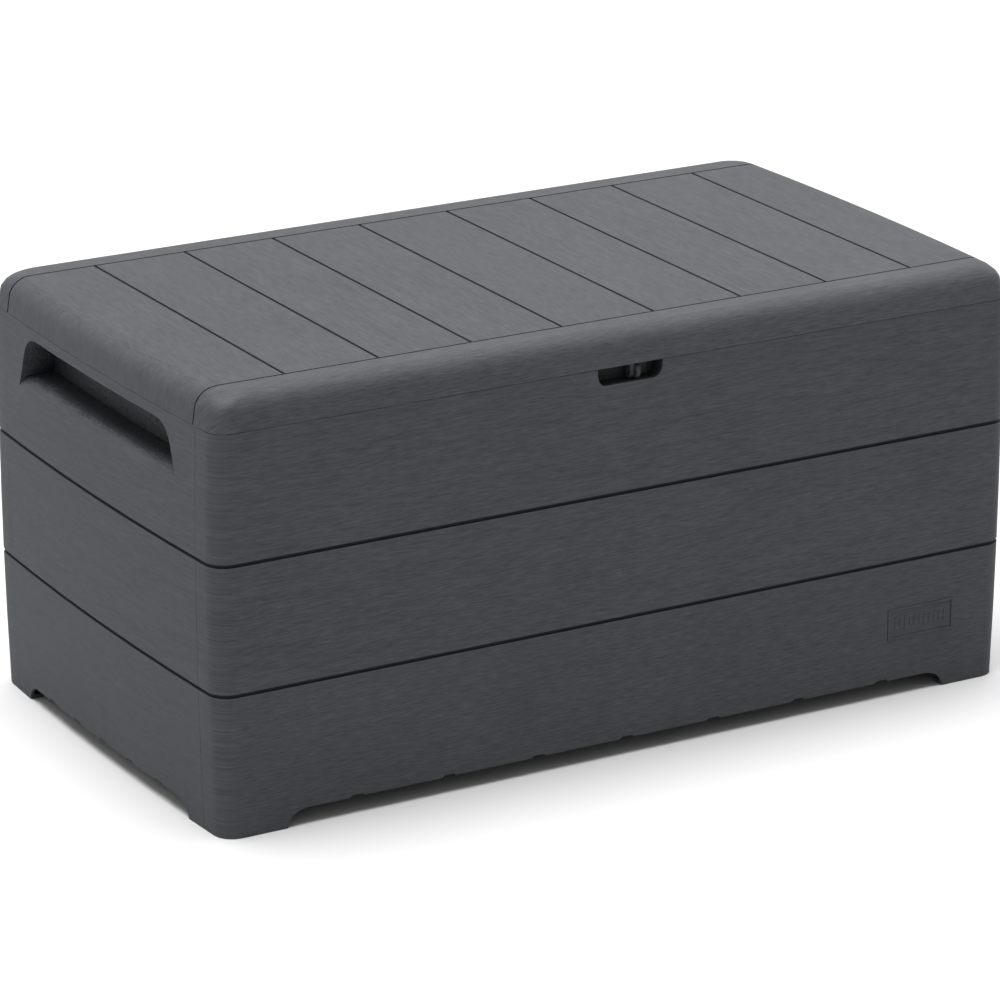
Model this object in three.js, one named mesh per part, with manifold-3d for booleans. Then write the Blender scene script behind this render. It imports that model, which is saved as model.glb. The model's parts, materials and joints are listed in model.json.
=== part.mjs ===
// Deck storage box: four moulded wall panels, a floor, and a hinged lid held open by two gas struts.
// Millimetres, +Z up, front faces -Y. The origin is on the ground, under the middle of the box.
import * as THREE from 'three';
import { mergeVertices } from 'three/addons/utils/BufferGeometryUtils.js';
import Module from 'manifold-3d';

const wasm = await Module();
wasm.setup();

// ---------- driving dimensions ----------
const LENGTH = 1290;            // over the widest part of the bowed ends
const DEPTH = 702;              // front face to rear face
const HEIGHT = 619;             // ground to the top of the lid
const SEAM_Z = 570;             // where the lid meets the walls
const UPPER_GROOVE_Z = 387.5;   // between the top and middle rows of boards
const LOWER_GROOVE_Z = 204.3;   // between the middle and bottom rows
const SKIRT_Z = 24.6;           // lower edge of the walls, between the feet
const END_BOW = 10.5;           // how far each end wall bows outwards in plan
const END_BARREL = 4.8;         // how far each end wall bulges over its height
const CORNER_R = 27;            // upright corners, in plan
const LEAST_CORNER_R = 3;       // on the inside of thick walls
const BASE_TAPER = 1.5;         // each end is this much shorter at the ground than at the seam
const GAP = 0.3;                // between touching pieces
const HALF_DEPTH = DEPTH / 2;
const HALF_LENGTH = LENGTH / 2 - END_BOW - 0.85 * END_BARREL;

const WALL = 5;                 // skin of the wall panels
const RIB_DEPTH = 14;           // stiffening ribs on the inside
const RIB = 4;                  // rib thickness
const RIB_PITCH = 142;          // upright ribs on the front and rear walls
const RIB_COUNT = 3;            // on each side of the middle rib
const END_RIB_PITCH = 85;       // upright ribs on the end walls
const END_RIB_COUNT = 2;
const GROOVE_W = 6;             // grooves between the rows of boards
const GROOVE_D = 3.5;
const RAIL_W = 24;              // rail round the top of the walls
const RAIL_H = 12;
const LIP_IN = 13;              // rain lip, from the outer face
const LIP_W = 4;
const LIP_H = 13;
const LEDGE_W = 22;             // ledge that carries the floor
const LEDGE_H = 5;
const SEAM_IN = 53.5;           // front and rear panels wrap this far round the corners
const FLANGE_W = 34;            // corner flanges that the panels are screwed through
const FLANGE_T = 4;

const FOOT_LENGTH = 96;         // each way from the corner, at the ground
const FOOT_CURVE = 31;          // run of the curve from the foot up to the lower edge
const SOLE_T = 6;
const NOTCH_W = 23;             // drain notches in the lower edge, under the ribs
const NOTCH_D = 3;

const FLOOR_T = 4;
const FLOOR_PAD_W = 100;        // raised pads of the floor, between its ribs
const FLOOR_PAD_H = 2;
const FLOOR_PAD_IN = 70;        // their ends, from the front and rear faces

const SCOOP_TOP_Z = 555;        // hand scoop in each end wall
const SCOOP_BOTTOM_Z = 470;
const SCOOP_SIDE = 47.5;        // from the scoop's lower corners to the edge of the end panel
const SCOOP_SPLAY = 30;         // how far each side of the scoop leans in, going up
const SCOOP_HALF_BOTTOM = HALF_DEPTH - SEAM_IN - SCOOP_SIDE;
const SCOOP_HALF_TOP = SCOOP_HALF_BOTTOM - SCOOP_SPLAY;
const SCOOP_DEPTH = 52;
const SCOOP_EDGE_R = 20;        // where the wall turns in to the scoop's floor
const SCOOP_FLOOR_FALL = 1.5;   // the floor drains outwards
const SCOOP_OUTSET = 0.3;       // the rounded edge starts this far outside the wall
const SCOOP_ROUND_W = 34;       // upper corners of its outline
const SCOOP_ROUND_H = 29;
const SCOOP_WALL = 4;
const SCOOP_STEPS = 8;          // facets round the edge

const LATCH_HALF_TOP = 51.5;    // recess in the front wall for a padlock
const LATCH_HALF_BOTTOM = 40;
const LATCH_BOTTOM_Z = 545;
const LATCH_DEPTH = 26;
const LUG_T = 6.5;              // padlock lugs: one on the box, one on the lid
const LUG_NOSE = 8;
const BOX_LUG_X = 15.3;
const LUG_GAP = 1.5;
const PLATE_T = 2.5;
const PLATE_W = 24;

const BADGE_X = 491;            // blank plate on the bottom row
const BADGE_Z = 110;
const BADGE_W = 112;
const BADGE_H = 46;
const BADGE_T = 1.6;

const LID_SKIN = 4.5;
const LID_GAP = 0.5;            // lid edge above the rail
const LID_ROUND_END = 36;       // edge roundings of the lid, seen from above
const LID_ROUND_FRONT = 29;
const LID_ROUND_REAR = 28;
const LID_ROUND_H = 29;
const LID_DRAFT = 3;
const LID_CORNER_GAIN = 6;      // the corners get rounder towards the top of the lid
const BAND_IN = 60;             // plain bands along the front and rear of the lid
const BAND_GROOVE_W = 3;
const BAND_GROOVE_D = 2.2;
const BOARD_PITCH = 141.4;      // boards on the lid, front to back
const MIDDLE_BOARD = 145.9;
const BOARD_GROOVE_W = 4.4;
const BOARD_GROOVE_D = 3;
const LINER_IN = 21;            // inner panel of the lid, inside the rain lip
const LINER_Z = 578;
const LINER_T = 4;
const LINER_RIB_H = 4;
const LINER_SCREW_LENGTH = 14;

const HINGE_R = 7.5;            // hinge barrels
const HINGE_IN = 8;             // hinge axis, from the rear face
const HINGE_HOLE_R = 3;
const PIN_R = 2.6;
const BOX_KNUCKLE = 24;
const LID_KNUCKLE = 30;
const HINGE_X = 430;            // outer hinges, from the middle one
const HINGE_Y = HALF_DEPTH - HINGE_IN;
const HINGE_Z = SEAM_Z;
const REBATE_H = 11;             // the rear wall is cut away this far down, for the lid to turn into
const SWING_ROOM = 1.5;         // clearance round the lid's turning edge

const STRUT_X = 568;            // plane of each gas strut
const STRUT_FOOT_Y = END_RIB_PITCH / 2;
const STRUT_FOOT_Z = 330;
const STRUT_REACH = 100;        // lid pivot of the strut, in front of the hinge
const STRUT_DROP = 13;          // and below it
const CYLINDER_R = 9;
const ROD_R = 4;
const EYE_R = 9;
const EYE_T = 8;
const STUD_R = 4;
const STUD_END = 3;             // how far the upper stud stands out of its eye
const BRACKET_HALF = 26;        // strut brackets
const BRACKET_T = 3;
const ARM_HALF = 11;            // half-width of the arms that carry the struts
const CYLINDER_LENGTH = 255;    // from the foot pivot to the mouth of the cylinder

const SCREW_R = 2.2;
const SCREW_HOLE_R = 2.6;
const SCREW_HEAD_R = 5;
const SCREW_HEAD_H = 2.4;
const SCREW_SIDES = 8;
const BLIND_HOLE = 2.5;         // how far the strut's screws bite into the end wall

// ---------- materials ----------
const finish = (name, color, roughness, metalness) => new THREE.MeshStandardMaterial({
  name, color, roughness, metalness,
});
const plastic = (name, colour) => finish(name, colour, 0.62, 0);
const panelPlastic = plastic('panel', 0x46484c);
const lidPlastic = plastic('lid', 0x4c4e52);
const innerPlastic = plastic('inner', 0x3c3e42);
const steel = finish('steel', 0xa8abad, 0.35, 1);
const cylinderPaint = finish('cylinder', 0x17181a, 0.4, 0.3);

// ---------- solids ----------
function solid(geometry) {
  geometry.deleteAttribute('normal');
  geometry.deleteAttribute('uv');
  const merged = mergeVertices(geometry, 1e-4);
  return new wasm.Manifold(new wasm.Mesh({
    numProp: 3,
    vertProperties: new Float32Array(merged.attributes.position.array),
    triVerts: new Uint32Array(merged.index.array),
  }));
}

function named(name, body, material) {
  const { vertProperties, triVerts } = body.getMesh();
  const geometry = new THREE.BufferGeometry();
  geometry.setAttribute('position', new THREE.BufferAttribute(vertProperties, 3));
  geometry.setIndex(new THREE.BufferAttribute(triVerts, 1));
  geometry.computeVertexNormals();
  const mesh = new THREE.Mesh(geometry, material);
  mesh.name = name;
  return mesh;
}

const union = (bodies) => bodies.reduce((a, b) => a.add(b));

function box(x0, x1, y0, y1, z0, z1) {
  const geometry = new THREE.BoxGeometry(x1 - x0, y1 - y0, z1 - z0);
  return solid(geometry.translate((x0 + x1) / 2, (y0 + y1) / 2, (z0 + z1) / 2));
}

// A round bar or hole along one axis, through a centre given in the other two.
function bar(axis, radius, from, to, centre, sides = 16) {
  const geometry = new THREE.CylinderGeometry(radius, radius, to - from, sides);
  geometry.translate(0, (from + to) / 2, 0);
  if (axis === 'x') geometry.rotateZ(-Math.PI / 2);
  if (axis === 'z') geometry.rotateX(Math.PI / 2);
  const [a, b] = centre;
  const place = { x: [0, a, b], y: [a, 0, b], z: [a, b, 0] }[axis];
  return solid(geometry.translate(...place));
}

// An outline in the XZ plane pushed along Y, or one in the YZ plane pushed along X.
function prism(axis, points, from, to, steps = 1) {
  const shape = points.getPoints ? points : new THREE.Shape(points.map(([a, b]) => new THREE.Vector2(a, b)));
  const depth = to - from;
  const geometry = new THREE.ExtrudeGeometry(shape, { depth, steps, bevelEnabled: false, curveSegments: 8 });
  geometry.translate(0, 0, from);
  const m = new THREE.Matrix4();
  if (axis === 'x') m.set(0, 0, 1, 0, 1, 0, 0, 0, 0, 1, 0, 0, 0, 0, 0, 1);
  if (axis === 'y') m.set(1, 0, 0, 0, 0, 0, -1, 0, 0, 1, 0, 0, 0, 0, 0, 1);
  if (axis === 'y') m.setPosition(0, from + to, 0);
  geometry.applyMatrix4(m);
  return geometry;
}

// Skins a stack of rings that all have the same number of points, lowest ring first.
function loft(rings) {
  const count = rings[0].length;
  const cap = THREE.ShapeUtils.triangulateShape(rings[0].map((p) => new THREE.Vector2(p.x, p.y)), []);
  const index = [];
  cap.forEach(([a, b, c]) => index.push(a, c, b));
  for (let level = 0; level < rings.length - 1; level++) {
    for (let i = 0; i < count; i++) {
      const a = level * count + i;
      const b = level * count + ((i + 1) % count);
      index.push(a, b, b + count, a, b + count, a + count);
    }
  }
  const top = (rings.length - 1) * count;
  cap.forEach(([a, b, c]) => index.push(top + a, top + b, top + c));
  const geometry = new THREE.BufferGeometry();
  const places = rings.flat().flatMap((p) => [p.x, p.y, p.z]);
  geometry.setAttribute('position', new THREE.Float32BufferAttribute(places, 3));
  geometry.setIndex(index);
  return solid(geometry);
}

// ---------- outer form ----------
// Half-length of the box at its corners, at a height: the ends bulge a little between top and bottom.
function halfLength(z) {
  const down = THREE.MathUtils.clamp((SEAM_Z - z) / SEAM_Z, 0, 1);
  return HALF_LENGTH + 4 * END_BARREL * down * (1 - down) - BASE_TAPER * down;
}
const bow = (y) => END_BOW * (1 - (y / HALF_DEPTH) ** 2);

// One level of the outer form: a rounded rectangle with bowed ends.
function ring(z, { end = 0, front = 0, rear = 0, radius = CORNER_R }) {
  const x = halfLength(z) - end;
  const y0 = -HALF_DEPTH + front;
  const y1 = HALF_DEPTH - rear;
  const corners = [[x - radius, y0 + radius, -90], [x - radius, y1 - radius, 0],
    [-x + radius, y1 - radius, 90], [-x + radius, y0 + radius, 180]];
  const arcSteps = 4;
  const endSteps = 6;
  const points = [];
  corners.forEach(([cx, cy, start], corner) => {
    for (let i = 0; i <= arcSteps; i++) {
      const angle = THREE.MathUtils.degToRad(start + (90 * i) / arcSteps);
      points.push([cx + radius * Math.cos(angle), cy + radius * Math.sin(angle)]);
    }
    if (corner % 2 === 0) {
      const towards = corner === 0 ? 1 : -1;
      for (let i = 1; i < endSteps; i++) {
        const t = (i / endSteps - 0.5) * towards;
        points.push([x * towards, (y0 + y1) / 2 + t * (y1 - y0 - 2 * radius)]);
      }
    }
  });
  return points.map(([px, py]) => new THREE.Vector3(px + (px / x) * bow(py), py, z));
}
const evenRing = (z, inset) => {
  const radius = Math.max(CORNER_R - inset, LEAST_CORNER_R);
  return ring(z, { end: inset, front: inset, rear: inset, radius });
};

// The whole body of the box, moved in by an inset, with or without the grooves between its rows.
function bodyForm(inset, bottom, top, grooved = false) {
  const levels = [[bottom, 0]];
  const grooves = grooved ? [LOWER_GROOVE_Z, UPPER_GROOVE_Z] : [];
  const edges = [0, LOWER_GROOVE_Z, UPPER_GROOVE_Z, SEAM_Z];
  for (let row = 0; row < 3; row++) {
    levels.push([(edges[row] + edges[row + 1]) / 2, 0]);
    if (!grooved && row < 2) levels.push([edges[row + 1], 0]);
  }
  grooves.forEach((z) => [[-0.5, 0], [-0.2, 1], [0.2, 1], [0.5, 0]].forEach(([share, depth]) => {
    levels.push([z + share * GROOVE_W, depth * GROOVE_D]);
  }));
  levels.push([top, 0]);
  return loft(levels.filter(([z]) => z >= bottom && z <= top).sort((a, b) => a[0] - b[0])
    .map(([z, depth]) => evenRing(z, inset + depth)));
}

const bodyRing = (outerInset, innerInset, z0, z1) => bodyForm(outerInset, z0, z1)
  .subtract(bodyForm(innerInset, z0 - 1, z1 + 1));

// The lid: drafted sides, then a rounding whose width differs at the ends, front and rear.
function lidForm(inset, bottom, top) {
  const roundSteps = 5;
  const roundStart = HEIGHT - LID_ROUND_H;
  const levels = [{ z: bottom, draft: 0, round: 0 }];
  for (let i = 0; i <= roundSteps; i++) {
    const angle = (Math.PI / 2) * (i / roundSteps);
    const z = roundStart + (LID_ROUND_H - inset) * Math.sin(angle);
    levels.push({ z, draft: 1, round: 1 - Math.cos(angle) });
  }
  return loft(levels.map(({ z, draft, round }) => {
    const taken = (width) => inset + draft * LID_DRAFT + round * (width - LID_DRAFT - inset);
    const radius = Math.max(CORNER_R - inset, LEAST_CORNER_R) + round * LID_CORNER_GAIN;
    return ring(Math.min(z, top), { end: taken(LID_ROUND_END), front: taken(LID_ROUND_FRONT),
      rear: taken(LID_ROUND_REAR), radius });
  }));
}

const ribPlaces = (pitch, count) => Array.from({ length: 2 * count + 1 }, (_, i) => (i - count) * pitch);
const BIG = LENGTH;             // longer than any cut needs

// ---------- hand scoops ----------
function scoopOutline(grow) {
  const top = SCOOP_TOP_Z + grow;
  const bottom = SCOOP_BOTTOM_Z - grow;
  const slope = (SCOOP_HALF_BOTTOM - SCOOP_HALF_TOP) / (SCOOP_TOP_Z - SCOOP_BOTTOM_Z);
  const shape = new THREE.Shape();
  shape.moveTo(-SCOOP_HALF_BOTTOM - grow, bottom);
  shape.lineTo(SCOOP_HALF_BOTTOM + grow, bottom);
  const low = [SCOOP_HALF_TOP + grow + slope * SCOOP_ROUND_H, top - SCOOP_ROUND_H];
  const corner = SCOOP_HALF_TOP + grow;
  const high = SCOOP_HALF_TOP - SCOOP_ROUND_W;
  shape.lineTo(low[0], low[1]);
  shape.quadraticCurveTo(corner, top, high, top);
  shape.lineTo(-high, top);
  shape.quadraticCurveTo(-corner, top, -low[0], low[1]);
  return shape;
}

// The hollow of a scoop: its outline, over a floor that curves in from the wall.
function scoopHollow(grow, side) {
  const face = -halfLength(SCOOP_BOTTOM_Z) - END_BOW - SCOOP_OUTSET;
  const back = face + SCOOP_DEPTH + grow;
  const outside = face - SCOOP_DEPTH;
  const edgeR = SCOOP_EDGE_R - grow;
  const profile = [[outside, SCOOP_BOTTOM_Z - grow], [face + grow, SCOOP_BOTTOM_Z - grow]];
  for (let i = 1; i <= SCOOP_STEPS; i++) {
    const angle = (Math.PI / 2) * (i / SCOOP_STEPS);
    profile.push([face + grow + edgeR * (1 - Math.cos(angle)), SCOOP_BOTTOM_Z + edgeR * Math.sin(angle)]);
  }
  profile.push([back, SCOOP_BOTTOM_Z + edgeR + SCOOP_FLOOR_FALL]);
  profile.push([back, SCOOP_TOP_Z + grow], [outside, SCOOP_TOP_Z + grow]);
  const reach = SCOOP_HALF_BOTTOM + grow + 1;
  const geometry = prism('y', profile, -reach, reach, 12);
  const position = geometry.attributes.position;
  for (let i = 0; i < position.count; i++) {
    position.setX(i, position.getX(i) + END_BOW - bow(position.getY(i)));
  }
  const outline = prism('x', scoopOutline(grow), -BIG, 0);
  const turn = side < 0 ? 0 : Math.PI;
  return solid(geometry.rotateZ(turn)).intersect(solid(outline.rotateZ(turn)));
}

// ---------- padlock recess ----------
function latchHollow(grow) {
  const top = SEAM_Z + LIP_H + 10;
  const half = LATCH_HALF_TOP + grow;
  const low = LATCH_BOTTOM_Z - grow;
  const outline = new THREE.Shape();
  outline.moveTo(-half, top);
  outline.lineTo(-half, SEAM_Z - 4);
  outline.quadraticCurveTo(-half, low, -LATCH_HALF_BOTTOM + 4, low);
  outline.lineTo(LATCH_HALF_BOTTOM - 4, low);
  outline.quadraticCurveTo(half, low, half, SEAM_Z - 4);
  outline.lineTo(half, top);
  return solid(prism('y', outline, -HALF_DEPTH - 20, -HALF_DEPTH + LATCH_DEPTH + grow));
}

// ---------- feet and lower edge ----------
function archCutter(axis, halfSpan) {
  const end = halfSpan - FOOT_LENGTH;
  const start = end - FOOT_CURVE;
  const shape = new THREE.Shape();
  shape.moveTo(-end, -5);
  shape.lineTo(end, -5);
  shape.lineTo(end, 0);
  shape.quadraticCurveTo(end - 4, SKIRT_Z - 2, start, SKIRT_Z);
  shape.lineTo(-start, SKIRT_Z);
  shape.quadraticCurveTo(-end + 4, SKIRT_Z - 2, -end, 0);
  return solid(prism(axis, shape, -BIG, BIG));
}

function notchCutters() {
  const cut = (c, axis) => prism(axis, [[c - NOTCH_W / 2, SKIRT_Z - 1], [c + NOTCH_W / 2, SKIRT_Z - 1],
    [c + NOTCH_W / 2 - 3, SKIRT_Z + NOTCH_D], [c - NOTCH_W / 2 + 3, SKIRT_Z + NOTCH_D]], -BIG, BIG);
  return union([...ribPlaces(RIB_PITCH, RIB_COUNT).map((x) => solid(cut(x, 'y'))),
    ...ribPlaces(END_RIB_PITCH, END_RIB_COUNT).map((y) => solid(cut(y, 'x')))]);
}

// ---------- where the struts and their screws go ----------
const span = (a, b) => [Math.min(a, b), Math.max(a, b)];
const strutFoot = new THREE.Vector2(STRUT_FOOT_Y, STRUT_FOOT_Z);
const strutHead = new THREE.Vector2(HINGE_Y - STRUT_REACH, HINGE_Z - STRUT_DROP);
const strutRun = strutHead.clone().sub(strutFoot);
const strutLength = strutRun.length();
const EAR_X = STRUT_X + EYE_T / 2 + STUD_END + 0.5;

// Screw positions on each bracket, front one first. The box ones lie on the inner face of the wall.
const boxBracketScrews = (side) => [-1, 1].map((end) => {
  const y = STRUT_FOOT_Y + end * (BRACKET_HALF - 8);
  return [side * (halfLength(STRUT_FOOT_Z) + bow(y) - WALL), y, STRUT_FOOT_Z];
});
const lidBracketScrews = (side) => [-1, 1].map((end) => [side * (EAR_X + 9.5), strutHead.x + end * 15.5]);

// ---------- walls ----------
function wallRing() {
  const ribZone = bodyRing(WALL - 0.5, WALL + RIB_DEPTH, SKIRT_Z + 1, SEAM_Z - 1);
  const ribs = [
    ...ribPlaces(RIB_PITCH, RIB_COUNT).map((x) => box(x - RIB / 2, x + RIB / 2, -BIG, BIG, SKIRT_Z, SEAM_Z)),
    ...ribPlaces(END_RIB_PITCH, END_RIB_COUNT)
      .map((y) => box(-BIG, BIG, y - RIB / 2, y + RIB / 2, SKIRT_Z, SEAM_Z)),
    ...[LOWER_GROOVE_Z, UPPER_GROOVE_Z].map((z) => box(-BIG, BIG, -BIG, BIG, z - GROOVE_W, z + GROOVE_W)),
  ];
  const seamY = HALF_DEPTH - SEAM_IN;
  const flangeZone = bodyRing(WALL - 0.5, FLANGE_W, SKIRT_Z + 1, SEAM_Z - 1);
  const flanges = [-seamY, seamY].map((y) => box(-BIG, BIG, y - FLANGE_T, y + FLANGE_T, 0, SEAM_Z));
  let walls = bodyForm(0, 0, SEAM_Z, true).subtract(bodyForm(WALL, -1, SEAM_Z + 1));
  walls = walls.add(ribZone.intersect(union(ribs)));
  walls = walls.add(flangeZone.intersect(union(flanges)));
  walls = walls.add(bodyRing(WALL - 0.5, RAIL_W, SEAM_Z - RAIL_H, SEAM_Z));
  walls = walls.add(bodyRing(LIP_IN, LIP_IN + LIP_W, SEAM_Z - RAIL_H / 2, SEAM_Z + LIP_H));
  walls = walls.add(bodyRing(WALL - 0.5, LEDGE_W, SKIRT_Z, SKIRT_Z + LEDGE_H));
  const soles = bodyRing(WALL - 0.5, LEDGE_W, 0, SOLE_T);
  walls = walls.add(soles);
  const arches = archCutter('y', halfLength(0)).add(archCutter('x', HALF_DEPTH));
  return walls.subtract(arches).subtract(notchCutters());
}

function frontDetails(walls) {
  const latchBlock = latchHollow(SCOOP_WALL).intersect(bodyForm(1, LATCH_BOTTOM_Z - 10, SEAM_Z + LIP_H));
  const badgeSeat = box(BADGE_X - BADGE_W / 2 - GAP, BADGE_X + BADGE_W / 2 + GAP, -HALF_DEPTH - 1,
    -HALF_DEPTH + BADGE_T, BADGE_Z - BADGE_H / 2 - GAP, BADGE_Z + BADGE_H / 2 + GAP);
  const lidSide = box(-BIG, BIG, -BIG, -HALF_DEPTH + LIP_IN, SEAM_Z, SEAM_Z + BIG);
  return walls.add(latchBlock.subtract(lidSide)).subtract(latchHollow(0)).subtract(badgeSeat);
}

const hingeStations = [-HINGE_X, 0, HINGE_X];
const knuckleSpans = (x) => {
  const inner = LID_KNUCKLE / 2 + GAP;
  return [[x - inner - BOX_KNUCKLE, x - inner], [x + inner, x + inner + BOX_KNUCKLE]];
};

function rearDetails(walls) {
  const rebateY = HINGE_Y - HINGE_R - 1;
  const rail = bodyRing(WALL - 0.5, RAIL_W + 8, SEAM_Z - REBATE_H - 8, SEAM_Z)
    .intersect(box(-BIG, BIG, HALF_DEPTH - RAIL_W - 8, BIG, 0, SEAM_Z));
  let body = walls.add(rail);
  const reach = halfLength(SEAM_Z) - CORNER_R - 6;
  body = body.subtract(box(-reach, reach, rebateY, BIG, SEAM_Z - REBATE_H, SEAM_Z + LIP_H + 1));
  body = body.subtract(box(-BIG, BIG, HINGE_Y - SWING_ROOM, BIG, HINGE_Z - HINGE_IN - SWING_ROOM, BIG));
  body = body.subtract(box(-BIG, BIG, rebateY - LIP_W, BIG, SEAM_Z + LIP_H / 2, BIG));
  hingeStations.forEach((x) => knuckleSpans(x).forEach(([x0, x1]) => {
    const web = box(x0, x1, rebateY - 2, HINGE_Y, HINGE_Z - REBATE_H + 3, HINGE_Z - 1);
    body = body.add(web).add(bar('x', HINGE_R, x0, x1, [HINGE_Y, HINGE_Z]));
    body = body.subtract(bar('x', HINGE_HOLE_R, x0 - 1, x1 + 1, [HINGE_Y, HINGE_Z]));
  }));
  return body;
}

const cornerScrewZ = [120, 430];
function cornerScrewHoles() {
  const seamY = HALF_DEPTH - SEAM_IN;
  return union([-1, 1].flatMap((sx) => [-1, 1].flatMap((sy) => cornerScrewZ.map((z) => {
    const x = sx * (halfLength(z) - FLANGE_W / 2 - 6);
    return bar('y', SCREW_HOLE_R, sy * seamY - 12, sy * seamY + 12, [x, z], SCREW_SIDES);
  }))));
}

function wallPanels() {
  const seamY = HALF_DEPTH - SEAM_IN;
  const walls = wallRing().subtract(cornerScrewHoles());
  const inside = bodyForm(1, 1, SEAM_Z - 1);
  const front = frontDetails(walls.intersect(box(-BIG, BIG, -BIG, -seamY - GAP / 2, -1, BIG)));
  const rear = rearDetails(walls.intersect(box(-BIG, BIG, seamY + GAP / 2, BIG, -1, BIG)));
  const middle = box(-BIG, BIG, -seamY + GAP / 2, seamY - GAP / 2, -1, BIG);
  const ends = [-1, 1].map((side) => {
    const half = side < 0 ? box(-BIG, 0, -BIG, BIG, -1, BIG) : box(0, BIG, -BIG, BIG, -1, BIG);
    const scoopShell = scoopHollow(SCOOP_WALL, side).intersect(inside);
    const holes = boxBracketScrews(side).map(([x, y, z]) => (
      bar('x', SCREW_HOLE_R, ...span(x - side, x + side * BLIND_HOLE), [y, z], SCREW_SIDES)
    ));
    return walls.intersect(middle).intersect(half).add(scoopShell).subtract(scoopHollow(0, side))
      .subtract(union(holes));
  });
  return [named('front_panel', front, panelPlastic), named('rear_panel', rear, panelPlastic),
    named('left_side_panel', ends[0], panelPlastic), named('right_side_panel', ends[1], panelPlastic)];
}

// ---------- floor ----------
function floorPanel() {
  const z0 = SKIRT_Z + LEDGE_H + GAP;
  const clear = WALL + RIB_DEPTH + GAP;
  const inset = FLANGE_W + GAP;
  const plate = bodyForm(clear, z0, z0 + FLOOR_T);
  const seamY = HALF_DEPTH - SEAM_IN;
  const flangeClear = [-1, 1].flatMap((sx) => [-1, 1].map((sy) => {
    const x = halfLength(0) - inset;
    return box(...span(sx * x, sx * BIG), sy * seamY - FLANGE_T - GAP, sy * seamY + FLANGE_T + GAP, 0, 100);
  }));
  const under = bodyForm(LEDGE_W + GAP, SKIRT_Z + 1, z0 + 1);
  const ribs = [
    ...ribPlaces(RIB_PITCH, RIB_COUNT + 1).map((x) => box(x - RIB / 2, x + RIB / 2, -BIG, BIG, 0, z0 + 1)),
    ...ribPlaces(2 * END_RIB_PITCH, 1).map((y) => box(-BIG, BIG, y - RIB / 2, y + RIB / 2, 0, z0 + 1)),
  ];
  const padEnd = HALF_DEPTH - FLOOR_PAD_IN;
  const raised = ribPlaces(RIB_PITCH, RIB_COUNT).map((x) => (
    box(x - FLOOR_PAD_W / 2, x + FLOOR_PAD_W / 2, -padEnd, padEnd, z0 + 1, z0 + FLOOR_T + FLOOR_PAD_H)
  ));
  const body = plate.add(under.intersect(union(ribs))).add(union(raised)).subtract(union(flangeClear));
  return named('floor_panel', body, innerPlastic);
}

// ---------- lid ----------
const lidBottom = SEAM_Z + LID_GAP;
const linerScrewPlaces = [-1, 1].flatMap((sy) => [-3, 0, 3].map((board) => [board * BOARD_PITCH,
  sy * (HALF_DEPTH - 105)]));
const boardGrooves = [-1, 1].flatMap((side) => (
  [0, 1, 2, 3].map((i) => side * (MIDDLE_BOARD / 2 + i * BOARD_PITCH))
));

function lidShell() {
  const outer = lidForm(0, lidBottom, HEIGHT);
  let shell = outer.subtract(lidForm(LID_SKIN, lidBottom - 1, HEIGHT));
  const groove = BOARD_GROOVE_W / 2;
  const bandY = HALF_DEPTH - BAND_IN;
  boardGrooves.forEach((x) => {
    const cut = [[x - groove, HEIGHT + 0.1], [x - groove / 3, HEIGHT - BOARD_GROOVE_D],
      [x + groove / 3, HEIGHT - BOARD_GROOVE_D], [x + groove, HEIGHT + 0.1]];
    shell = shell.subtract(solid(prism('y', cut.reverse(), -bandY, bandY)));
  });
  const halfGroove = BAND_GROOVE_W / 2;
  const bands = [-bandY, bandY].map((y) => box(-BIG, BIG, y - halfGroove, y + halfGroove, 0, BIG));
  shell = shell.subtract(union(bands).subtract(lidForm(BAND_GROOVE_D, lidBottom - 2, HEIGHT)));
  linerScrewPlaces.forEach(([x, y]) => {
    const bossEnd = LINER_Z + LINER_T + GAP;
    shell = shell.add(bar('z', SCREW_HOLE_R + 3, bossEnd, HEIGHT - LID_SKIN + 1, [x, y], SCREW_SIDES));
    shell = shell.subtract(bar('z', SCREW_HOLE_R, bossEnd - 1, bossEnd + 14, [x, y], SCREW_SIDES));
  });
  hingeStations.forEach((x) => {
    const clear = HINGE_R + 0.8;
    const [left, right] = knuckleSpans(x);
    shell = shell.subtract(bar('x', clear, left[0] - 5, right[1] + 4, [HINGE_Y, HINGE_Z]));
    const x0 = x - LID_KNUCKLE / 2;
    const x1 = x + LID_KNUCKLE / 2;
    shell = shell.add(box(x0, x1, HINGE_Y - HINGE_R, HALF_DEPTH - 1.5, HINGE_Z + 1, HINGE_Z + 16));
    shell = shell.add(bar('x', HINGE_R, x0, x1, [HINGE_Y, HINGE_Z]));
    shell = shell.subtract(bar('x', HINGE_HOLE_R, x0 - 1, x1 + 1, [HINGE_Y, HINGE_Z]));
  });
  return named('lid_shell', shell, lidPlastic);
}

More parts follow.
